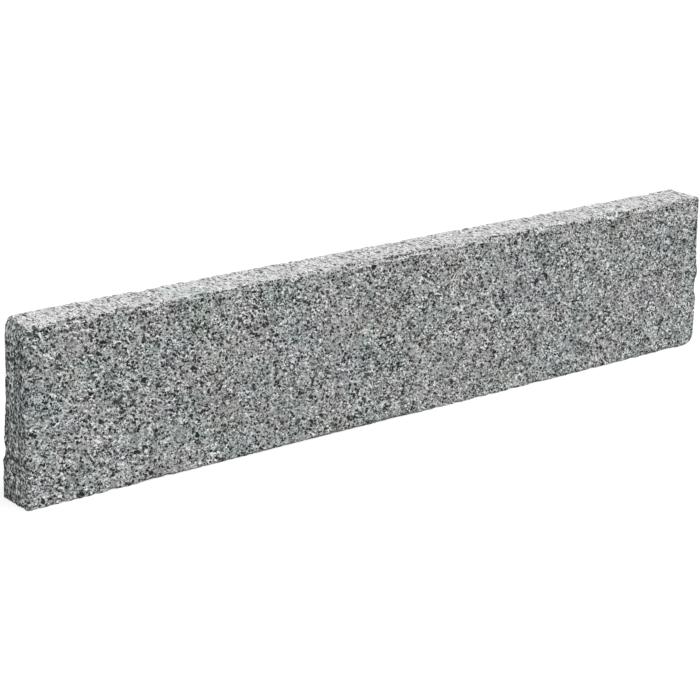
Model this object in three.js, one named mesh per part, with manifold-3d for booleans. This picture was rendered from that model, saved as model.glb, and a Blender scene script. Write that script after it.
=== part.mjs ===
// A granite kerb stone, sawn from one block, with bush-hammered faces and worn arrises.
//
// The stone stands on its narrow bed, as it does in the ground. +X runs along its length, -Y is
// the face towards the path, +Z is up, and the origin is the middle of the bed. Units are mm.
//
// 1. Three outlines, extruded along Y, X and Z and intersected, give the sawn block with its
//    rounded corners and arrises.
// 2. The chips that handling has knocked off the arrises are cut from it, one shallow
//    mussel-shell scar at a time.
// 3. Two corners are cleaved off flat, as a knock on a corner leaves them.

import * as THREE from 'three';
import { mergeVertices } from 'three/addons/utils/BufferGeometryUtils.js';
import Module from 'manifold-3d';

// ---------------------------------------------------------------- driving dimensions, mm

const LENGTH = 1000;
const HEIGHT = 200;
const THICKNESS = 50;

// Corners of the long face, seen from the path.
const CORNER_LOWER_LEFT = 1.5;
const CORNER_LOWER_RIGHT = 17;
const CORNER_UPPER_RIGHT = 2.5;
const CORNER_UPPER_LEFT = 2.5;

// Arrises: the two along the top, the two along the bed and the four upright ones.
const ARRIS_TOP = 1.2;
const ARRIS_BED = 1.5;
const ARRIS_UPRIGHT = 1.5;

// A scar's hollow below the straight line between its two rims, as a share of that line.
const SCAR_HOLLOW = 0.26;

// Facets: steps along a rounded corner, round a scar's whole ball and from tip to tip of it.
const CORNER_STEPS = 7;
const ARRIS_STEPS = 3;
const SCAR_STEPS_ROUND = 24;
const SCAR_STEPS_ALONG = 10;

// How far each cutting extrusion runs out past the block.
const OVERRUN = 5;

// ---------------------------------------------------------------- the chips on the arrises
//
// Each chip sits on one arris. at is its place, from -1 at one end of the arris to 1 at the
// other; length is its length along the arris; down and across are how far it reaches over
// the first and the second face of that arris. The long ones are spalls, where a stretch of
// the arris has flaked off in one piece, and those at -1 or 1 run out at the arris's end.

const FRONT_TOP_CHIPS = [
  { at: -0.962, length: 30, down: 2.6, across: 5 },
  { at: -0.9, length: 16, down: 9, across: 4 },
  { at: -0.862, length: 22, down: 6, across: 5 },
  { at: -0.761, length: 30, down: 4.5, across: 7 },
  { at: -0.7, length: 24, down: 6, across: 3.5 },
  { at: -0.57, length: 20, down: 5, across: 3 },
  { at: -0.3, length: 40, down: 2.8, across: 4 },
  { at: -0.133, length: 34, down: 6, across: 7 },
  { at: -0.02, length: 50, down: 5, across: 3 },
  { at: 0.08, length: 56, down: 5, across: 3.5 },
  { at: 0.16, length: 26, down: 5, across: 6 },
  { at: 0.27, length: 44, down: 6, across: 4 },
  { at: 0.45, length: 40, down: 4, across: 3 },
  { at: 0.675, length: 34, down: 7, across: 8 },
  { at: 0.78, length: 40, down: 5, across: 3.5 },
  { at: 0.93, length: 22, down: 4, across: 4 },
];

const REAR_TOP_CHIPS = [
  { at: -1, length: 110, down: 2, across: 3 },
  { at: -0.79, length: 12, down: 5, across: 4 },
  { at: -0.655, length: 16, down: 6, across: 6 },
  { at: -0.23, length: 18, down: 4, across: 4 },
  { at: 0.055, length: 20, down: 5, across: 4.5 },
  { at: 0.48, length: 15, down: 4.5, across: 5 },
  { at: 0.6, length: 30, down: 4.5, across: 4 },
  { at: 0.75, length: 36, down: 4, across: 4 },
  { at: 0.89, length: 12, down: 4.5, across: 5 },
];

const FRONT_BED_CHIPS = [
  { at: -0.69, length: 36, down: 3, across: 4 },
  { at: -0.27, length: 380, down: 2.6, across: 3 },
  { at: -0.015, length: 46, down: 4, across: 4 },
  { at: 0.44, length: 20, down: 3.5, across: 3.5 },
  { at: 0.9, length: 32, down: 3, across: 4 },
];

const REAR_BED_CHIPS = [
  { at: -0.6, length: 24, down: 4, across: 4 },
  { at: 0.12, length: 30, down: 3.5, across: 4.5 },
  { at: 0.7, length: 18, down: 4.5, across: 3.5 },
];

const FRONT_LEFT_CHIPS = [
  { at: -0.55, length: 14, down: 4, across: 3.5 },
  { at: 0.2, length: 22, down: 4, across: 4 },
  { at: 0.62, length: 12, down: 4.5, across: 4 },
];

const FRONT_RIGHT_CHIPS = [
  { at: -0.2, length: 26, down: 4, across: 4 },
  { at: 0.3, length: 16, down: 4, across: 3.5 },
  { at: 1, length: 190, down: 7, across: 7.5 },
];

const REAR_LEFT_CHIPS = [
  { at: -0.45, length: 20, down: 4, across: 4 },
  { at: 1, length: 290, down: 7.5, across: 13.5 },
];

const REAR_RIGHT_CHIPS = [{ at: 0.3, length: 24, down: 4, across: 4.5 }];

const RIGHT_TOP_CHIPS = [{ at: 0, length: 90, down: 5, across: 9 }];

// ---------------------------------------------------------------- directions

const LEFT = new THREE.Vector3(-1, 0, 0);
const RIGHT = new THREE.Vector3(1, 0, 0);
const FRONT = new THREE.Vector3(0, -1, 0);
const REAR = new THREE.Vector3(0, 1, 0);
const BED = new THREE.Vector3(0, 0, -1);
const TOP = new THREE.Vector3(0, 0, 1);

// Each arris lies between two faces. A chip's down is measured over the first of them.
const CHIPPED_ARRISES = [
  { faces: [FRONT, TOP], chips: FRONT_TOP_CHIPS },
  { faces: [REAR, TOP], chips: REAR_TOP_CHIPS },
  { faces: [FRONT, BED], chips: FRONT_BED_CHIPS },
  { faces: [REAR, BED], chips: REAR_BED_CHIPS },
  { faces: [FRONT, LEFT], chips: FRONT_LEFT_CHIPS },
  { faces: [FRONT, RIGHT], chips: FRONT_RIGHT_CHIPS },
  { faces: [REAR, LEFT], chips: REAR_LEFT_CHIPS },
  { faces: [REAR, RIGHT], chips: REAR_RIGHT_CHIPS },
  { faces: [RIGHT, TOP], chips: RIGHT_TOP_CHIPS },
];

// Corners knocked off flat: which corner, and how far the break reaches along each edge. One
// that reaches further than the stone is thick runs right across its end.
const CLEAVED_CORNERS = [
  { faces: [LEFT, REAR, TOP], reach: new THREE.Vector3(13, 60, 24) },
  { faces: [LEFT, REAR, TOP], reach: new THREE.Vector3(12, 16, 26) },
  { faces: [RIGHT, REAR, BED], reach: new THREE.Vector3(9, 12, 14) },
];

const HALF_BLOCK = new THREE.Vector3(LENGTH, THICKNESS, HEIGHT).multiplyScalar(0.5);

// ---------------------------------------------------------------- solids

const wasm = await Module();
wasm.setup();

function solidFrom(geometry) {
  const bare = geometry.clone();
  bare.deleteAttribute('normal');
  bare.deleteAttribute('uv');
  const merged = mergeVertices(bare);
  return new wasm.Manifold(new wasm.Mesh({
    numProp: 3,
    vertProperties: merged.attributes.position.array,
    triVerts: new Uint32Array(merged.index.array),
  }));
}

function geometryFrom(solid) {
  const mesh = solid.getMesh();
  const geometry = new THREE.BufferGeometry();
  geometry.setAttribute('position', new THREE.BufferAttribute(mesh.vertProperties, 3));
  geometry.setIndex(new THREE.BufferAttribute(mesh.triVerts, 1));
  const flat = geometry.toNonIndexed();
  flat.computeVertexNormals();
  return flat;
}

// ---------------------------------------------------------------- the sawn block

// A rectangle about the origin, with its own radius at each corner.
function roundedRectangle(width, height, { lowerLeft, lowerRight, upperRight, upperLeft }) {
  const x = width / 2;
  const y = height / 2;
  const outline = new THREE.Shape();
  outline.absarc(-x + lowerLeft, -y + lowerLeft, lowerLeft, Math.PI, 1.5 * Math.PI);
  outline.absarc(x - lowerRight, -y + lowerRight, lowerRight, 1.5 * Math.PI, 2 * Math.PI);
  outline.absarc(x - upperRight, y - upperRight, upperRight, 0, 0.5 * Math.PI);
  outline.absarc(-x + upperLeft, y - upperLeft, upperLeft, 0.5 * Math.PI, Math.PI);
  return outline;
}

function extruded(outline, depth, steps) {
  const run = depth + 2 * OVERRUN;
  const geometry = new THREE.ExtrudeGeometry(outline, {
    depth: run,
    bevelEnabled: false,
    curveSegments: steps,
  });
  return geometry.translate(0, 0, -run / 2);
}

// The long face's outline, drawn in X and Z and run through the thickness.
function elevation() {
  const outline = roundedRectangle(LENGTH, HEIGHT, {
    lowerLeft: CORNER_LOWER_LEFT,
    lowerRight: CORNER_LOWER_RIGHT,
    upperRight: CORNER_UPPER_RIGHT,
    upperLeft: CORNER_UPPER_LEFT,
  });
  return extruded(outline, THICKNESS, CORNER_STEPS).rotateX(Math.PI / 2);
}

// The section, drawn in Y and Z and run along the length.
function section() {
  const outline = roundedRectangle(THICKNESS, HEIGHT, {
    lowerLeft: ARRIS_BED,
    lowerRight: ARRIS_BED,
    upperRight: ARRIS_TOP,
    upperLeft: ARRIS_TOP,
  });
  return extruded(outline, LENGTH, ARRIS_STEPS).rotateX(Math.PI / 2).rotateZ(Math.PI / 2);
}

// The plan, drawn in X and Y and run up the height.
function plan() {
  const outline = roundedRectangle(LENGTH, THICKNESS, {
    lowerLeft: ARRIS_UPRIGHT,
    lowerRight: ARRIS_UPRIGHT,
    upperRight: ARRIS_UPRIGHT,
    upperLeft: ARRIS_UPRIGHT,
  });
  return extruded(outline, HEIGHT, ARRIS_STEPS);
}

function sawnBlock() {
  return solidFrom(elevation()).intersect(solidFrom(section())).intersect(solidFrom(plan()));
}

// ---------------------------------------------------------------- chips and broken corners

// A chip leaves a hollow like the inside of a mussel shell. Its cutter is a ball drawn out
// along the arris: across the arris it passes through both rims and dips below the straight
// line between them, and its ends meet the arris length apart.
function chipCutter([firstFace, secondFace], { at, length, down, across }) {
  const along = new THREE.Vector3().crossVectors(firstFace, secondFace);
  const run = new THREE.Vector3(Math.abs(along.x), Math.abs(along.y), Math.abs(along.z));
  const arris = run.clone().multiplyScalar(at).add(firstFace).add(secondFace);
  arris.multiply(HALF_BLOCK);

  const chord = Math.hypot(down, across);
  const sag = SCAR_HOLLOW * chord;
  const radius = (chord * chord / 4 + sag * sag) / (2 * sag);
  const outward = firstFace.clone().multiplyScalar(down);
  outward.addScaledVector(secondFace, across).normalize();

  const middle = arris.clone().addScaledVector(secondFace, -down / 2);
  middle.addScaledVector(firstFace, -across / 2);
  const centre = middle.addScaledVector(outward, radius - sag);
  const toArris = centre.distanceTo(arris);
  const stretch = length / 2 / Math.sqrt(radius * radius - toArris * toArris);

  const ball = new THREE.SphereGeometry(radius, SCAR_STEPS_ROUND, SCAR_STEPS_ALONG);
  ball.scale(1, stretch, 1);
  const side = new THREE.Vector3().crossVectors(outward, run);
  ball.applyMatrix4(new THREE.Matrix4().makeBasis(outward, run, side));
  return ball.translate(centre.x, centre.y, centre.z);
}

// A corner break is one flat face through three points, one on each edge of that corner.
// Its cutter is a box that lies on that face.
function cornerCutter({ faces, reach }) {
  const outwards = faces.reduce((sum, face) => sum.add(face), new THREE.Vector3());
  const corner = outwards.clone().multiply(HALF_BLOCK);
  const normal = outwards.clone().divide(reach);
  const offset = 1 / normal.length();
  normal.normalize();
  const size = 2 * Math.max(reach.x, reach.y, reach.z);
  const box = new THREE.BoxGeometry(size, size, size);
  box.applyQuaternion(new THREE.Quaternion().setFromUnitVectors(TOP, normal));
  const centre = corner.addScaledVector(normal, size / 2 - offset);
  return box.translate(centre.x, centre.y, centre.z);
}

function kerbStone() {
  let stone = sawnBlock();
  for (const { faces, chips } of CHIPPED_ARRISES) {
    for (const chip of chips) {
      stone = stone.subtract(solidFrom(chipCutter(faces, chip)));
    }
  }
  for (const corner of CLEAVED_CORNERS) {
    stone = stone.subtract(solidFrom(cornerCutter(corner)));
  }
  return stone;
}

// ---------------------------------------------------------------- the part

const granite = new THREE.MeshStandardMaterial({
  name: 'granite',
  color: 0xa5a6a5,
  roughness: 0.85,
  metalness: 0,
});

const stone = new THREE.Mesh(geometryFrom(kerbStone()), granite);
stone.name = 'kerb_stone';
stone.position.z = HEIGHT / 2;

const kerb = new THREE.Group();
kerb.add(stone);

export default kerb;
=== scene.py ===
# %% [markdown]
# # A granite kerb stone
# A kerb stone is one long bar of granite. It is sawn from a block, its faces are roughened
# with a bush hammer, and handling knocks small chips off its arrises, which is what a mason
# calls the edges of a stone.
#
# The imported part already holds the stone's size, its rounded corners and its chips. This
# lesson adds what the eye still misses: the fine relief of the hammered faces and the
# crystals of the granite itself. Everything is in metres, X runs along the stone, -Y is the
# face towards the path and Z is up.

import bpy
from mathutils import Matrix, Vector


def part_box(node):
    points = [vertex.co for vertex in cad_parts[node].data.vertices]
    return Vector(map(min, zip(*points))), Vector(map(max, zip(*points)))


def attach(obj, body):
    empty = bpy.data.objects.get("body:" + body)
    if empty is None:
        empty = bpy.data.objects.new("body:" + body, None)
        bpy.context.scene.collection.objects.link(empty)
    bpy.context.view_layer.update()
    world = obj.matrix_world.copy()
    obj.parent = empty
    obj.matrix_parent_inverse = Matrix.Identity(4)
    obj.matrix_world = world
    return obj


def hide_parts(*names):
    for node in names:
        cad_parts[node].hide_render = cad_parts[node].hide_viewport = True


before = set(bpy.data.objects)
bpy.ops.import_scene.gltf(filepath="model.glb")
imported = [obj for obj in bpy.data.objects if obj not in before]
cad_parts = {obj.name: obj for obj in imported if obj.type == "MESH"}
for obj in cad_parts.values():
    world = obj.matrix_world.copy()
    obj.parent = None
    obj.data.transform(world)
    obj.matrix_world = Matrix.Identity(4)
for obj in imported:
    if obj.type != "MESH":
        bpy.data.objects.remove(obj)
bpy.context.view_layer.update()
print("packed nodes:", sorted(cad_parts))

# %% The tools this lesson uses
import math

import bpy
import numpy as np
from mathutils import Matrix, Vector, noise
from mathutils.bvhtree import BVHTree
from mathutils.kdtree import KDTree

MM = 0.001

# %% [markdown]
# ## The stone's mesh
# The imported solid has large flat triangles, and fine relief needs small, even cells. One
# could subdivide the solid, but its triangles are long and thin, so the cells would be too.
# A voxel remesh gives even cells, but it rounds off the arrises. Here a lattice is laid on a
# plain block of the same size, with close lines near the arrises where the shape changes
# fast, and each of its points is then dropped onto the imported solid.

# %% The block and its lattice lines
stone_low, stone_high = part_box("kerb_stone")
centre = np.array((stone_low + stone_high) / 2)
half = np.array((stone_high - stone_low) / 2)
print("block, mm:", np.round(2 * half / MM, 2))

FINE_STEP = 0.9 * MM
COARSE_STEP = 2.7 * MM
FINE_CELLS = 9
FINE_ZONE = FINE_CELLS * FINE_STEP


def lattice_lines(half_length):
    """Places from one end of an edge to the other, close together near both ends."""
    near_end = np.arange(0, FINE_ZONE - FINE_STEP / 2, FINE_STEP)
    reach = half_length - FINE_ZONE
    cells = round(2 * reach / COARSE_STEP)
    between = np.linspace(-reach, reach, cells + 1)
    return np.concatenate([near_end - half_length, between, half_length - near_end[::-1]])


lines = [lattice_lines(h) for h in half]
print("lattice lines along X, Y and Z:", [len(line) for line in lines])

# %% Number the points that lie on the block's skin
counts = [len(line) for line in lines]
where = np.indices(counts)
on_skin = np.zeros(counts, bool)
for axis, count in enumerate(counts):
    on_skin |= (where[axis] == 0) | (where[axis] == count - 1)
number = np.full(counts, -1)
number[on_skin] = np.arange(on_skin.sum())
block_points = np.stack([lines[axis][where[axis][on_skin]] for axis in range(3)], axis=1)
print("points on the skin:", len(block_points))

# %% [markdown]
# Six grids of quads cover the block. Each face of the block also gets its own strip of a
# UV map, so that a later bake of the granite has one clean rectangle for each face. The
# strips are stacked on top of each other, and the two small ends share the last one.

# %% The six faces and their strips of the map
MAP_GAP = 0.008

thickness, height = 2 * half[1:]
strip_heights = [height, height, thickness, thickness, thickness]
levels = np.cumsum([0] + strip_heights) / sum(strip_heights)

# The axis that a face looks along, its side, and its strip: left, bottom, right, top.
FACES = {
    "path face": (1, -1, (0, levels[0], 1, levels[1])),
    "garden face": (1, 1, (0, levels[1], 1, levels[2])),
    "top": (2, 1, (0, levels[2], 1, levels[3])),
    "bed": (2, -1, (0, levels[3], 1, levels[4])),
    "left end": (0, -1, (0, levels[4], 0.5, levels[5])),
    "right end": (0, 1, (0.5, levels[4], 1, levels[5])),
}


def face_grid(axis, side, strip):
    """The quads of one face, facing out, and the map place of each of their corners."""
    plane = np.take(number, 0 if side < 0 else -1, axis=axis)
    across, up = [a for a in range(3) if a != axis]
    place = np.meshgrid(
        (lines[across] / half[across] + 1) / 2,
        (lines[up] / half[up] + 1) / 2,
        indexing="ij",
    )
    left, bottom, right, top = strip
    u = left + MAP_GAP + place[0] * (right - left - 2 * MAP_GAP)
    v = bottom + MAP_GAP + place[1] * (top - bottom - 2 * MAP_GAP)

    corners = [(0, 0), (1, 0), (1, 1), (0, 1)]
    turns_outwards = side if axis != 1 else -side
    if turns_outwards < 0:
        corners = corners[::-1]
    columns, rows = plane.shape

    def at_corner(grid, i, j):
        return grid[i:columns - 1 + i, j:rows - 1 + j].ravel()

    quads = np.stack([at_corner(plane, *c) for c in corners], axis=1)
    places = [np.stack([at_corner(u, *c), at_corner(v, *c)], axis=1) for c in corners]
    return quads, np.stack(places, axis=1)


grids = [face_grid(*face) for face in FACES.values()]
quads = np.concatenate([grid[0] for grid in grids])
map_places = np.concatenate([grid[1] for grid in grids])
print("quads:", len(quads), "triangles:", 2 * len(quads))

# %% [markdown]
# A point near an arris must not drop straight down, or the rounded arris would get long
# thin cells. So the points drop towards a smaller block inside the stone: on the open face
# that is straight in, and near an arris the ways fan out round the inner block's own arris.

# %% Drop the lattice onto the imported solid
FAN_DEPTH = 15 * MM
HEAD_START = 2 * MM

inner = np.clip(block_points, -(half - FAN_DEPTH), half - FAN_DEPTH)
outward = block_points - inner
outward /= np.linalg.norm(outward, axis=1, keepdims=True)

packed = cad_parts["kerb_stone"].data
skin = BVHTree.FromPolygons(
    [v.co for v in packed.vertices], [tuple(p.vertices) for p in packed.polygons])

dropped = np.empty_like(block_points)
missed = 0
for i, (point, way) in enumerate(zip(block_points + centre, outward)):
    start = Vector(point + way * HEAD_START)
    hit = skin.ray_cast(start, Vector(-way), 2 * FAN_DEPTH)[0]
    if hit is None:
        missed += 1
        hit = skin.find_nearest(start)[0]
    dropped[i] = hit
# A hit is rounded, and may lie a nanometre outside the block.
dropped = np.clip(dropped, centre - half, centre + half)
print("points dropped:", len(dropped), "without a hit:", missed)

# %% [markdown]
# ## The hammered relief
# A bush hammer has a grid of small teeth. It leaves a face that is flat as a whole and full
# of shallow pits up close, a little wavy where the mason struck harder, and ragged along
# the arrises, where crumbs break away. A displacement modifier with a texture could make
# this, but it knows nothing of the arrises. So each kind of relief is a noise here, with its
# own width and depth, worked out point by point. A noise swings to both sides, but only its
# deeper half is used: the dents go into the stone and the rest of the face stays where the
# saw left it, so the stone never outgrows its packed size.

# %% Noises with a width and a depth
DENT_STEEPNESS = 4
# Each kind of relief takes its noise from a place of its own, set by these numbers.
SEEDS = {"hammer": 0, "top": 5, "crumbs": 10, "bites": 30, "cracks": 41, "rims": 50}
HILL_STEP = (17.3, 5.1, 9.7)


def hills(points, width, seed):
    """Smooth noise from 0 to about 1, with hills as wide as width."""
    shift = Vector([seed * step for step in HILL_STEP])
    return 0.5 + 0.5 * np.array([noise.noise(Vector(p) / width + shift) for p in points])


def dents(points, kinds, first_seed):
    """Dents of several widths and depths, added up. Each leaves half of the stone alone."""
    return sum(
        depth * np.clip(DENT_STEEPNESS * (hills(points, width, first_seed + i) - 0.5), 0, 1)
        for i, (width, depth) in enumerate(kinds))


def nearness(distance, reach):
    """1 where the distance is 0, falling off to 0 at about twice reach."""
    return np.exp(-(distance / reach) ** 2)


print("mean of a dent, as a share of its depth: %.2f" % dents(
    block_points[::50], ((7 * MM, 1.0),), SEEDS["hammer"]).mean())

# %% Crumble the arrises
ARRIS_CRUMBS = ((4 * MM, 1.0 * MM), (9 * MM, 0.8 * MM))
CRUMB_REACH = 2.5 * MM

# Here and there a larger bite is gone.
BITE_WIDTH = 10 * MM
BITE_DEPTH = 3.5 * MM
BITE_BEGINS = 0.6
BITE_REACH = 3 * MM

# The upright arrises were sawn, and have kept straighter than the hammered ones.
SAWN_CALM = 0.7
SAWN_REACH = 10 * MM

# Where a chip has already taken the arris, there is nothing left to crumble.
CHIPPED_REACH = 1.8 * MM

face_distance = half - np.abs(block_points)
arris_distance = np.sort(face_distance, axis=1)[:, 1]
bites = hills(dropped, BITE_WIDTH, SEEDS["bites"]) - BITE_BEGINS
bites = np.clip(bites, 0, 1) / (1 - BITE_BEGINS)

crumbled = BITE_DEPTH * bites * nearness(arris_distance, BITE_REACH)
crumbs = dents(dropped, ARRIS_CRUMBS, SEEDS["crumbs"])
crumbled += crumbs * nearness(arris_distance, CRUMB_REACH)

upright = nearness(np.hypot(face_distance[:, 0], face_distance[:, 1]), SAWN_REACH)
sawn = upright * (1 - nearness(face_distance[:, 2], SAWN_REACH))
crumbled *= 1 - SAWN_CALM * sawn

chipped = np.linalg.norm(block_points + centre - dropped, axis=1)
crumbled *= nearness(chipped, CHIPPED_REACH)
print("crumbled off the arrises, mm: most %.2f" % (crumbled.max() / MM))

# %% Hammer the faces, and the top harder than the rest
PITS = ((7 * MM, 0.2 * MM), (14 * MM, 0.2 * MM))
WAVES = ((38 * MM, 0.15 * MM), (120 * MM, 0.2 * MM))
TOP_PITS = ((6 * MM, 0.2 * MM), (15 * MM, 0.2 * MM))
TOP_BEGINS = 0.5

hammered = dents(dropped, PITS + WAVES, SEEDS["hammer"])
hammered += dents(dropped, TOP_PITS, SEEDS["top"]) * (outward[:, 2] > TOP_BEGINS)
print("hammered into the faces, mm: most %.2f" % (hammered.max() / MM))

# %% [markdown]
# Where a chip has flown off, the stone shows a fresh break that no hammer has bruised, and
# so it is darker; this darkening is partly painted shade in the hollow of the chip. A point
# lies in a break where it is well inside all six faces of the block. The rim of a break is
# rough. The blow also cracks the stone round the break, and more of its mica shows there,
# which is partly painted shade round the chip too. A mask painted by hand would have to be
# painted again for every new chip, so both shares are worked out and kept with each point,
# and the material reads them as attributes.

# %% Find the fresh breaks
BREAK_BEGINS = 1.1 * MM
BREAK_IS_FULL = 2.6 * MM
BREAK_COUNTS = 0.5
CRACKS_REACH = 6 * MM
CRACKS_WIDTH = 14 * MM
CRACKS_BEGIN = 0.3
CRACKS_STEEPNESS = 2.5

inside = (half - np.abs(dropped - outward * crumbled[:, None] - centre)).min(axis=1)
broken = np.clip((inside - BREAK_BEGINS) / (BREAK_IS_FULL - BREAK_BEGINS), 0, 1)
print("share of the points in a break: %.3f" % broken.mean())

in_break = np.flatnonzero(broken > BREAK_COUNTS)
breaks = KDTree(len(in_break))
for i in in_break:
    breaks.insert(dropped[i], i)
breaks.balance()
break_distance = np.array([breaks.find(p)[2] for p in dropped])
cracks = hills(dropped, CRACKS_WIDTH, SEEDS["cracks"]) - CRACKS_BEGIN
cracked = np.clip(CRACKS_STEEPNESS * cracks, 0, 1) * nearness(break_distance, CRACKS_REACH)
print("share of the points in cracked stone: %.3f" % cracked.mean())

# %% Add the rough rims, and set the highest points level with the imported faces
RIM_CRUMBS = ((3.5 * MM, 0.3 * MM), (8 * MM, 0.3 * MM))
RIM_REACH = 2.5 * MM

depth = crumbled + hammered
depth += dents(dropped, RIM_CRUMBS, SEEDS["rims"]) * nearness(break_distance, RIM_REACH)
depth -= depth.min()
print("relief depth, mm: mean %.2f, most %.2f" % (depth.mean() / MM, depth.max() / MM))

# %% The stone's own mesh
stone_points = dropped - outward * depth[:, None]
stone_mesh = bpy.data.meshes.new("hammered_granite")
stone_mesh.from_pydata(stone_points.tolist(), [], quads.tolist())
stone_mesh.shade_smooth()
bake_map = stone_mesh.uv_layers.new(name="OFBake")
bake_map.uv.foreach_set("vector", map_places.astype(np.float32).ravel())
for name, share in (("broken", broken), ("cracked", cracked)):
    kept = stone_mesh.attributes.new(name, "FLOAT", "POINT")
    kept.data.foreach_set("value", share.astype(np.float32))
stone = bpy.data.objects.new("hammered_granite", stone_mesh)
bpy.context.scene.collection.objects.link(stone)
print("stone:", len(stone_mesh.vertices), "points,", len(stone_mesh.polygons), "quads")

# %% [markdown]
# ## Writing shader maths as sums
# A material in Blender is a tree of nodes. Long trees are hard to read as lists of links,
# so a wire coming out of a node is wrapped in a small class here, and sums and products of
# wires add their own nodes: Math for numbers, Vector Math for places and Mix for colours,
# because a Math node would turn a colour grey. A Mix node has sockets for every kind of
# value, and only their numbers tell them apart: 4 and 5 take places and 6 and 7 colours.

# %% Wires
def spread(value, count):
    """A plain number as count equal numbers. Anything else stays as it is."""
    return (value,) * count if isinstance(value, (int, float)) else value


class Wire:
    """One output of a node. Sums and products of wires add nodes to its recipe."""

    def __init__(self, recipe, socket):
        self.recipe = recipe
        self.socket = socket

    def joined(self, operation, first, second):
        kinds = [end.socket.type for end in (first, second) if isinstance(end, Wire)]
        if "VECTOR" in kinds:
            return self.recipe.node(
                "ShaderNodeVectorMath", {"operation": operation},
                {0: spread(first, 3), 1: spread(second, 3)})
        if "RGBA" in kinds:
            return self.recipe.node(
                "ShaderNodeMix", {"data_type": "RGBA", "blend_type": operation},
                {0: 1.0, 6: spread(first, 4), 7: spread(second, 4)}, 2)
        return self.recipe.node(
            "ShaderNodeMath", {"operation": operation}, {0: first, 1: second})

    def __add__(self, other):
        return self.joined("ADD", self, other)

    def __radd__(self, other):
        return self.joined("ADD", other, self)

    def __sub__(self, other):
        return self.joined("SUBTRACT", self, other)

    def __rsub__(self, other):
        return self.joined("SUBTRACT", other, self)

    def __mul__(self, other):
        return self.joined("MULTIPLY", self, other)

    def __rmul__(self, other):
        return self.joined("MULTIPLY", other, self)

    def __pow__(self, other):
        return self.joined("POWER", self, other)

    def __rpow__(self, other):
        return self.joined("POWER", other, self)

    def largest(self, other):
        return self.joined("MAXIMUM", self, other)

    def output(self, name):
        """Another output of the same node."""
        return Wire(self.recipe, self.socket.node.outputs[name])


# %% The one method that adds any other node
class Recipe:
    """The node tree of a material or a world."""

    def __init__(self, owner):
        self.owner = owner
        owner.use_nodes = True
        self.nodes = owner.node_tree.nodes
        self.links = owner.node_tree.links
        self.nodes.clear()

    def node(self, kind, settings=None, inputs=None, output=0):
        """Adds a node: its settings first, then its inputs, each a wire or a plain value."""
        made = self.nodes.new(kind)
        for name, value in (settings or {}).items():
            setattr(made, name, value)
        for name, value in (inputs or {}).items():
            if isinstance(value, Wire):
                self.links.new(value.socket, made.inputs[name])
            else:
                made.inputs[name].default_value = value
        return Wire(self, made.outputs[output]) if made.outputs else made


test = Recipe(bpy.data.materials.new("test"))
half_of_it = 1 - 0.5 * test.node("ShaderNodeTexNoise")
print("a sum of wires ends in:", half_of_it.socket.node.bl_idname)
bpy.data.materials.remove(test.owner)

# %% [markdown]
# ## The granite
# Granite is three kinds of crystal grown into each other: white to grey feldspar, glassy
# grey quartz and black mica. A flat image would stretch or repeat over the arrises, so the
# crystals are made as a solid pattern that fills space, as they fill the real stone, and
# each face simply cuts through it. A Voronoi texture gives the crystals: each of its cells
# has a random colour, which is used here as three random numbers, and a distance from its
# middle.

# %% Crystals and clouds
CRYSTAL_STEP = (31.0, 7.0, 13.0)
CLOUD_STEP = (19.0, 43.0, 5.0)
CLOUD_ROUGHNESS = 0.6


def crystals(place, width, seed):
    """Cells of about this width in mm: the distance from a cell's middle, as a share of
    the width, and three numbers from 0 to 1 that each cell draws for itself. Each seed
    moves the cells somewhere else."""
    recipe = place.recipe
    moved = place + tuple(seed * step for step in CRYSTAL_STEP)
    distance = recipe.node("ShaderNodeTexVoronoi", {}, {"Vector": moved, "Scale": 1 / width})
    drawn = recipe.node("ShaderNodeSeparateColor", {}, {"Color": distance.output("Color")})
    return distance, drawn, drawn.output("Green"), drawn.output("Blue")


def cloud(place, width, detail, seed):
    """A noise about 0, with clouds of about this width in mm. Detail adds finer ones."""
    moved = place + tuple(seed * step for step in CLOUD_STEP)
    return place.recipe.node("ShaderNodeTexNoise", {}, {
        "Vector": moved, "Scale": 1 / width, "Detail": detail,
        "Roughness": CLOUD_ROUGHNESS}) - 0.5


def under(value, edge, softness=0.01):
    """1 where value is under edge and 0 where it is over it."""
    gap = edge - value
    return gap.recipe.node("ShaderNodeMapRange", {}, {
        "Value": gap, "From Min": -softness, "From Max": softness})


print("crystals, clouds and edges are ready")

# %% [markdown]
# The ground of the stone is feldspar and quartz, grown together in greys of every depth.
# Some feldspars stand out white. The mica lies in it as small black flakes. A flake is the
# middle of a cell, so that most flakes stand alone, and here and there they crowd together
# in nests. A noise with two colours would be quicker, but its dark parts would all run into
# each other, and the stone would look like marble.

# %% The ground and the white feldspars
# Widths are in mm, and tones go from 0 for black to 1 for white.
DARKEST = 0.010
GROUND_WIDTH = 1.6
GROUND_TONE = 0.44
GROUND_SPREAD = 0.70
FINE_WIDTH = 1.1
FINE_SPREAD = 1.0
CLUSTER_WIDTH = 13
CLUSTER_SPREAD = 0.40
WHITE_WIDTH = 2.3
WHITE_SHARE = 0.17
WHITE_LIFT = 0.46
WEAKEST_WHITE = 0.6


def feldspar_and_quartz(place, clusters, whiteness):
    """How much lighter or darker than the ground each crystal is."""
    drawn = crystals(place, GROUND_WIDTH, seed=0)[1]
    fine = cloud(place, FINE_WIDTH, detail=1, seed=1)
    ground = (drawn - 0.5) * GROUND_SPREAD + fine * FINE_SPREAD + clusters * CLUSTER_SPREAD

    chance, strength = crystals(place, WHITE_WIDTH, seed=1)[1:3]
    white = under(1 - chance, WHITE_SHARE)
    return ground + white * (WEAKEST_WHITE + strength * (1 - WEAKEST_WHITE)) * whiteness


print("white feldspars: one crystal in %.0f, %.1f mm wide" % (1 / WHITE_SHARE, WHITE_WIDTH))

# %% The black mica
MICA_TONE = 0.010
MICA_TONE_SPREAD = 0.09
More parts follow.
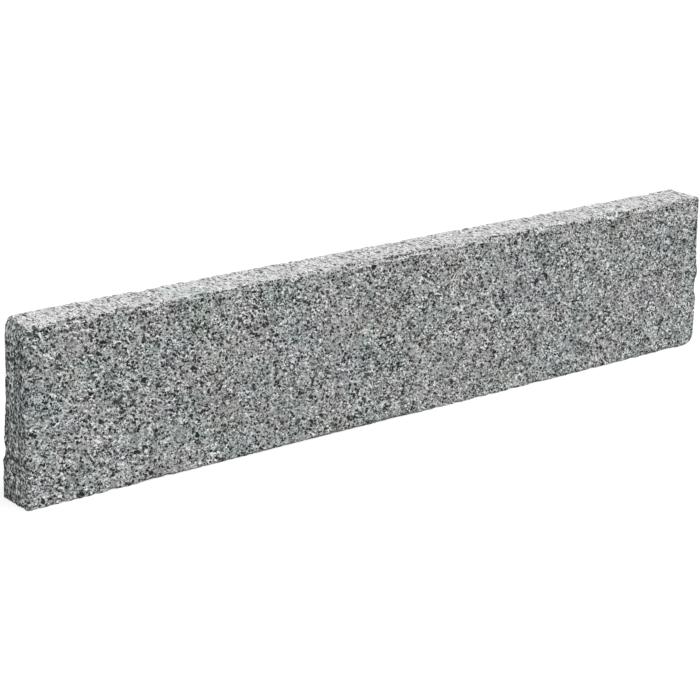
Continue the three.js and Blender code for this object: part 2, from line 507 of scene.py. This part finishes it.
# The width of each kind of flake, its share of the cells, and how far it crowds in nests.
MICA_FLAKES = ((2.9, 0.26, 1.0), (1.85, 0.23, 1.0), (4.6, 0.035, 0.12))
# How far a flake reaches from the middle of its cell, as a share of the cell's width.
MICA_REACH = 0.36
MICA_REACH_SPREAD = 0.30
FLAKE_SOFTNESS = 0.06
# Where the flakes crowd together.
NEST_WIDTH = 11
NEST_BEGINS = 0.06
NEST_IS_FULL = 0.30
NEST_MICA = 0.48


def nests(place):
    """How many more of the cells are flakes where they crowd together in a nest."""
    return place.recipe.node("ShaderNodeMapRange", {}, {
        "Value": cloud(place, NEST_WIDTH, detail=2, seed=6),
        "From Min": NEST_BEGINS, "From Max": NEST_IS_FULL, "To Max": NEST_MICA})


def mica(place, crowding):
    """1 on the black flakes, and how deep a grey each flake is."""
    flakes = 0
    for seed, (width, share, crowds) in enumerate(MICA_FLAKES, start=2):
        distance, chance, size, depth = crystals(place, width, seed)
        here = under(chance, share + crowding * crowds)
        reach = MICA_REACH + size * MICA_REACH_SPREAD
        flakes = (here * under(distance, reach, FLAKE_SOFTNESS)).largest(flakes)
    return flakes, MICA_TONE + depth * depth * MICA_TONE_SPREAD


print("mica flakes of", [kind[0] for kind in MICA_FLAKES], "mm")

# %% [markdown]
# The faces differ. The hammer has bruised the top most, so its crystals are paler and more
# alike, and the top is made paler and calmer still as painted sheen, the haze of light that
# it catches. The two ends are rougher than the long faces, and they are made a little darker
# as painted shade; their crystals stand out more, partly as painted shading of their relief.
# A fresh break shows more mica, because nothing has bruised it, and so does the cracked stone
# round it; this darkening is partly painted shade in the hollows of the chips. Each kind of
# face could have a material of its own, but then the grain would break off at every arris. So
# one recipe finds out at each place which way the stone looks there, and what has happened
# to it.

# %% How each side of the stone differs
LEVEL_BEGINS = 0.15
LEVEL_IS_FULL = 0.6
END_BEGINS = 0.6
END_IS_FULL = 0.8
# On the top the grain is calmer and paler: partly the hammer's bruise, partly painted sheen.
TOP_CALM_AND_SHEEN = 0.78
TOP_CLUSTERS = 0.5
TOP_WHITE = -0.30
TOP_MICA_AND_SHEEN = -0.06
# The ends: END_SHADE darkens them as painted shade, and END_CONTRAST and END_WHITE are partly
# painted shading of their relief.
END_CONTRAST = 0.65
END_WHITE = 0.12
END_SHADE = 0.088
# In some patches the crystals stand out more than in others.
LIVELY_WIDTH = 20
LIVELY_SPREAD = 1.5
# Breaks and the cracked stone round them get a darker ground and more mica: partly fresh
# unbruised stone, partly painted shade in the chips' hollows.
BROKEN_MICA_AND_SHADE = 0.06
BROKEN_GROUND_AND_SHADE = 0.03
CRACKED_MICA_AND_SHADE = 0.18


def facing(recipe, axis, begins, full):
    """1 where the stone looks along this axis, either way, and 0 where it looks across it."""
    normal = recipe.node("ShaderNodeNewGeometry", output="Normal")
    along = recipe.node("ShaderNodeSeparateXYZ", {}, {0: normal}, axis)
    size = recipe.node("ShaderNodeMath", {"operation": "ABSOLUTE"}, {0: along})
    return recipe.node("ShaderNodeMapRange", {}, {
        "Value": size, "From Min": begins, "From Max": full})


def tone_of_stone(place, wandering, flake_place):
    """How light the stone is, with painted sheen on top and painted shade at the ends and
    breaks, and how far it is a top and an end.
    """
    recipe = place.recipe
    broken = recipe.node("ShaderNodeAttribute", {"attribute_name": "broken"}, output="Fac")
    cracked = recipe.node("ShaderNodeAttribute", {"attribute_name": "cracked"}, output="Fac")
    level = facing(recipe, "Z", LEVEL_BEGINS, LEVEL_IS_FULL)
    # Breaks on the level faces get none of the top's painted sheen, so they stay darker:
    # partly painted shade.
    on_top = level * (1 - broken)
    on_end = facing(recipe, "X", END_BEGINS, END_IS_FULL)

    clusters = cloud(place, CLUSTER_WIDTH, detail=3, seed=2)
    # The level faces' calmer, paler grain here and below is partly the hammer's bruise and
    # partly painted sheen.
    clusters = clusters * (1 - level * (1 - TOP_CLUSTERS))
    whiteness = WHITE_LIFT + on_top * TOP_WHITE + on_end * END_WHITE
    uneven = feldspar_and_quartz(wandering, clusters, whiteness)
    lively = 1 + cloud(place, LIVELY_WIDTH, detail=1, seed=7) * LIVELY_SPREAD
    # The ends' extra contrast is partly painted shading of their relief.
    lively = lively + on_end * END_CONTRAST
    uneven = uneven * lively * (1 - level * (1 - TOP_CALM_AND_SHEEN))
    # END_SHADE is painted shade on the ends; the breaks' darker ground is partly painted
    # shade.
    ground = GROUND_TONE + uneven - broken * BROKEN_GROUND_AND_SHADE - on_end * END_SHADE

    # More mica in breaks and cracked stone is partly painted shade in the chips' hollows.
    crowding = nests(place) + broken * BROKEN_MICA_AND_SHADE + cracked * CRACKED_MICA_AND_SHADE
    # Fewer flakes on top: partly painted sheen.
    flakes, depth = mica(flake_place, crowding * (1 - on_top) + on_top * TOP_MICA_AND_SHEEN)
    tone = (ground * (1 - flakes) + flakes * depth).largest(DARKEST)
    return tone, on_top, on_end


# The top's calm is partly painted sheen, and the ends' contrast is partly painted shading of
# their relief.
print("calmer on top by %.2f, rougher at the ends by %.2f" % (1 - TOP_CALM_AND_SHEEN, END_CONTRAST))

# %% [markdown]
# The stone is a plain grey with faint green stains, since mica turns green as it weathers,
# and fainter clouds of blue. One fixed colour could be mixed in there, but then the dark
# crystals would look far more tinted than the light ones. The eye sees a tint as a step on
# a scale that is finer in the dark, so here the tint goes with the square root of the tone,
# and all the crystals look alike tinted. The top hardly shows the stains or the blue, and
# its own tint is nearly neutral: that is painted sheen, the white haze of light on it.

# %% The tint of the stone
RED_SHIFT = 0.019
BLUE_SHIFT = 0.0055
# The top's shifts, and TOP_STAIN and TOP_BLUENESS below, make the top nearly neutral: painted
# sheen.
TOP_RED_SHIFT = -0.0155
TOP_BLUE_SHIFT = -0.0035
STAIN_WIDTH = 55
STAIN_SHARE = 0.10
STAIN_SPREAD = 0.24
STAIN_BLUE = 0.3
TOP_STAIN = -0.16
END_STAIN = 0.03
BLUE_WIDTH = 40
BLUE_SPREAD = 0.10
TOP_BLUENESS = -0.7
END_BLUENESS = 0.3


def stone_colour(body, place, wandering, flake_place):
    """The colour: the tone of the crystals is its green, and red and blue differ from it."""
    tone, on_top, on_end = tone_of_stone(place, wandering, flake_place)
    stain = cloud(body, STAIN_WIDTH, detail=2, seed=30) + STAIN_SHARE
    # The top's weaker stain and blue are painted sheen.
    stain = stain + on_top * TOP_STAIN + on_end * END_STAIN
    stain = stain.largest(0) * STAIN_SPREAD
    blueness = cloud(body, BLUE_WIDTH, detail=2, seed=23) * BLUE_SPREAD
    blueness = blueness * (1 + on_top * TOP_BLUENESS + on_end * END_BLUENESS)

    root = tone ** 0.5
    # The top's red and blue shifts are painted sheen.
    red = tone + root * (RED_SHIFT - stain + on_top * TOP_RED_SHIFT)
    blue = BLUE_SHIFT + blueness - stain * STAIN_BLUE + on_top * TOP_BLUE_SHIFT
    blue = tone + root * blue
    return place.recipe.node("ShaderNodeCombineColor", {}, {0: red, 1: tone, 2: blue})


print("stains about %d mm wide" % STAIN_WIDTH)

# %% [markdown]
# Granite splits most easily along its rift, and its crystals lie a little drawn out that way.
# They also grow a little coarser towards one end of the stone. The hammer has crushed them
# smaller on the level faces. The ends cut across the rift, and there they stand upright. All
# this could be built into each texture by itself, but it is simpler to bend the space that
# all the textures stand in: a place multiplied by more than 1 gives smaller crystals.

# %% Bend the space that the crystals stand in
RIFT = (0.8 / MM, 0.6 / MM, 1 / MM)
RIFT_ANGLE = math.radians(-22)
GRADING = 0.08

# By how much the grain is smaller, along the rift, across the stone and up through the rift:
# on the level faces, the same for the flakes of mica, and on the ends.
CRUSHED = (1.9, 1.2, 1.3)
FLAKES_CRUSHED = (1.35, 0.95, 1.3)
DRAWN_UP = (1, 1.4, 0.65)

# The grain changes where the stone turns this far up or sideways, so right on an arris.
SQUEEZE_BEGINS = 0.59
SQUEEZE_IS_FULL = 0.61

# How far the borders of the crystals wander, and how wide the bends in them are.
NUDGE = 1.2
NUDGE_WIDTH = 1.7


def rift_place(recipe):
    """The place in mm along and across the rift, graded towards the right end."""
    body = recipe.node("ShaderNodeTexCoord", output="Object")
    along = recipe.node("ShaderNodeSeparateXYZ", {}, {0: body})
    body = RIFT * recipe.node("ShaderNodeVectorRotate", {"rotation_type": "Y_AXIS"}, {
        "Vector": body, "Angle": RIFT_ANGLE})
    return body * (1 - (along + half[0]) * GRADING)


def squeezed(place, on_level, on_ends):
    """The place, squeezed by one set of shares on the level faces and another on the ends."""
    for axis, shares in (("Z", on_level), ("X", on_ends)):
        there = facing(place.recipe, axis, SQUEEZE_BEGINS, SQUEEZE_IS_FULL)
        place = place.recipe.node("ShaderNodeMix", {"data_type": "VECTOR"}, {
            0: there, 4: place, 5: place * shares}, 1)
    return place


def nudged(place):
    """The place, nudged by a noise: crystals aren't neat cells, and their borders wander."""
    nudge = place.recipe.node("ShaderNodeTexNoise", {}, {
        "Vector": place, "Scale": 1 / NUDGE_WIDTH, "Detail": 2}, "Color")
    return place + (nudge - 0.5) * NUDGE


print("the grain is %.0f %% coarser at the right end" % (100 * GRADING))

# %% [markdown]
# The last step puts the colour on the surface. A hammered stone is matt, and each of its
# crystals shines a little more or less than the next. The smallest pits are finer than the
# mesh, so a bump makes them. Every pit that changes the outline is in the mesh already.

# %% The granite itself
PIT_WIDTH = 1.25
CRYSTAL_HEIGHT = 0.5
BUMP_STRENGTH = 0.6
BUMP_DEPTH = 1.0 * MM
ROUGHEST = 0.92
ROUGHNESS_SPREAD = 0.22
SHINE = 0.3


def granite():
    recipe = Recipe(bpy.data.materials.new("granite"))
    body = rift_place(recipe)
    place = squeezed(body, CRUSHED, DRAWN_UP)
    wandering = nudged(place)
    flake_place = nudged(squeezed(body, FLAKES_CRUSHED, DRAWN_UP))
    colour = stone_colour(body, place, wandering, flake_place)

    rough, height = crystals(wandering, GROUND_WIDTH, seed=0)[2:]
    pits = cloud(place, PIT_WIDTH, detail=2, seed=5)
    normal = recipe.node("ShaderNodeBump", {}, {
        "Strength": BUMP_STRENGTH, "Distance": BUMP_DEPTH,
        "Height": height * CRYSTAL_HEIGHT + pits})
    surface = recipe.node("ShaderNodeBsdfPrincipled", {}, {
        "Base Color": colour, "Normal": normal, "Specular IOR Level": SHINE,
        "Roughness": ROUGHEST - rough * ROUGHNESS_SPREAD})
    recipe.node("ShaderNodeOutputMaterial", {}, {"Surface": surface})
    return recipe.owner


stone.data.materials.append(granite())
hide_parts("kerb_stone")
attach(stone, "root")
print("granite nodes:", len(stone.data.materials[0].node_tree.nodes))

# %% [markdown]
# ## A plain studio
# The stone stands on a pale floor under soft light. A viewer sees the floor and the
# surroundings as white, while the floor that light bounces off is a mid grey, so the upright
# faces keep their depth. A backdrop of white boards could do this too, but it would have to
# stand close to the stone, and it would light the faces that should be in shade.

# %% The floor
WHITE = (1, 1, 1, 1)
FLOOR_SIZE = 30.0
FLOOR_BOUNCE = (0.404, 0.420, 0.417, 1)
# A viewer sees this share of the floor as plain white, and the rest of it takes the shadow.
FLOOR_GLOW = 0.85

floor_mesh = bpy.data.meshes.new("floor")
reach = FLOOR_SIZE / 2
floor_mesh.from_pydata(
    [(-reach, -reach, 0), (reach, -reach, 0), (reach, reach, 0), (-reach, reach, 0)],
    [], [(0, 1, 2, 3)])
floor = bpy.data.objects.new("floor", floor_mesh)
bpy.context.scene.collection.objects.link(floor)


def seen_directly(recipe):
    """1 for rays that a viewer sees, straight or in a shine, and 0 for light that bounces."""
    ray = recipe.node("ShaderNodeLightPath", output="Is Camera Ray")
    return ray.largest(ray.output("Is Glossy Ray")).largest(ray.output("Is Transmission Ray"))


def floor_paint():
    recipe = Recipe(bpy.data.materials.new("floor_paint"))
    seen = seen_directly(recipe)
    colour = recipe.node("ShaderNodeMix", {"data_type": "RGBA"}, {
        0: seen, 6: FLOOR_BOUNCE, 7: WHITE}, 2)
    paint = recipe.node("ShaderNodeBsdfDiffuse", {}, {"Color": colour})
    glow = recipe.node("ShaderNodeEmission", {}, {"Color": WHITE, "Strength": 1.0})
    surface = recipe.node("ShaderNodeMixShader", {}, {0: seen * FLOOR_GLOW, 1: paint, 2: glow})
    recipe.node("ShaderNodeOutputMaterial", {}, {"Surface": surface})
    return recipe.owner


floor.data.materials.append(floor_paint())
print("floor:", FLOOR_SIZE, "m wide")

# %% [markdown]
# One soft sun stands high in front of the stone, so the top is the lightest face, the path
# face comes next, and the left end gets only what the floor and the sky give it. Area lamps
# would do as well, but their light falls off along a stone a metre long. The sky is faint
# and even, and a viewer sees white in its place.

# %% The light
SKY = 0.2
SKY_TINT = (0.96, 1.0, 0.993, 1)
SUN = 4.17
SUN_TOWARDS = Vector((0.12, -0.245, 1.0))
SUN_ANGLE = math.radians(30)


def studio_world():
    recipe = Recipe(bpy.data.worlds.new("studio"))
    around = recipe.node("ShaderNodeBackground", {}, {"Color": SKY_TINT, "Strength": SKY})
    white = recipe.node("ShaderNodeBackground", {}, {"Color": WHITE, "Strength": 1.0})
    chosen = recipe.node(
        "ShaderNodeMixShader", {}, {0: seen_directly(recipe), 1: around, 2: white})
    recipe.node("ShaderNodeOutputWorld", {}, {"Surface": chosen})
    return recipe.owner


bpy.context.scene.world = studio_world()

sun = bpy.data.lights.new("sun", "SUN")
sun.energy = SUN
sun.angle = SUN_ANGLE
sun_object = bpy.data.objects.new("sun", sun)
sun_object.rotation_euler = SUN_TOWARDS.to_track_quat("Z", "Y").to_euler()
bpy.context.scene.collection.objects.link(sun_object)
print("sun %.2f, sky %.2f" % (SUN, SKY))

# %% [markdown]
# ## The camera
# The camera stands in front of the left end of the stone, above it, and looks down at it
# along its length. A constraint that aims it at the stone would be handy, but it can't roll
# the picture. So the camera is turned by three angles instead, one after the other. Its
# lens is a long one, so the long arrises run together only a little.

# %% The camera
IMAGE_WIDTH = 700
SENSOR_WIDTH = 36
VIEW_DEPTH = 100
FOCAL_PIXELS = 2136.0
EYE = Vector((-1.5244, -1.8316, 0.8554))
TURN = math.radians(38.714)
TILT = math.radians(-18.105)
ROLL = math.radians(1.289)

camera = bpy.data.cameras.new("camera")
camera.sensor_width = SENSOR_WIDTH
camera.lens = FOCAL_PIXELS / IMAGE_WIDTH * SENSOR_WIDTH
camera.clip_end = VIEW_DEPTH
camera_object = bpy.data.objects.new("camera", camera)
camera_object.matrix_world = (
    Matrix.Translation(EYE)
    @ Matrix.Rotation(-TURN, 4, "Z")
    @ Matrix.Rotation(math.pi / 2 + TILT, 4, "X")
    @ Matrix.Rotation(ROLL, 4, "Z"))
bpy.context.scene.collection.objects.link(camera_object)
bpy.context.scene.camera = camera_object
bpy.context.scene.view_settings.view_transform = "Standard"
print("lens: %.1f mm" % camera.lens)
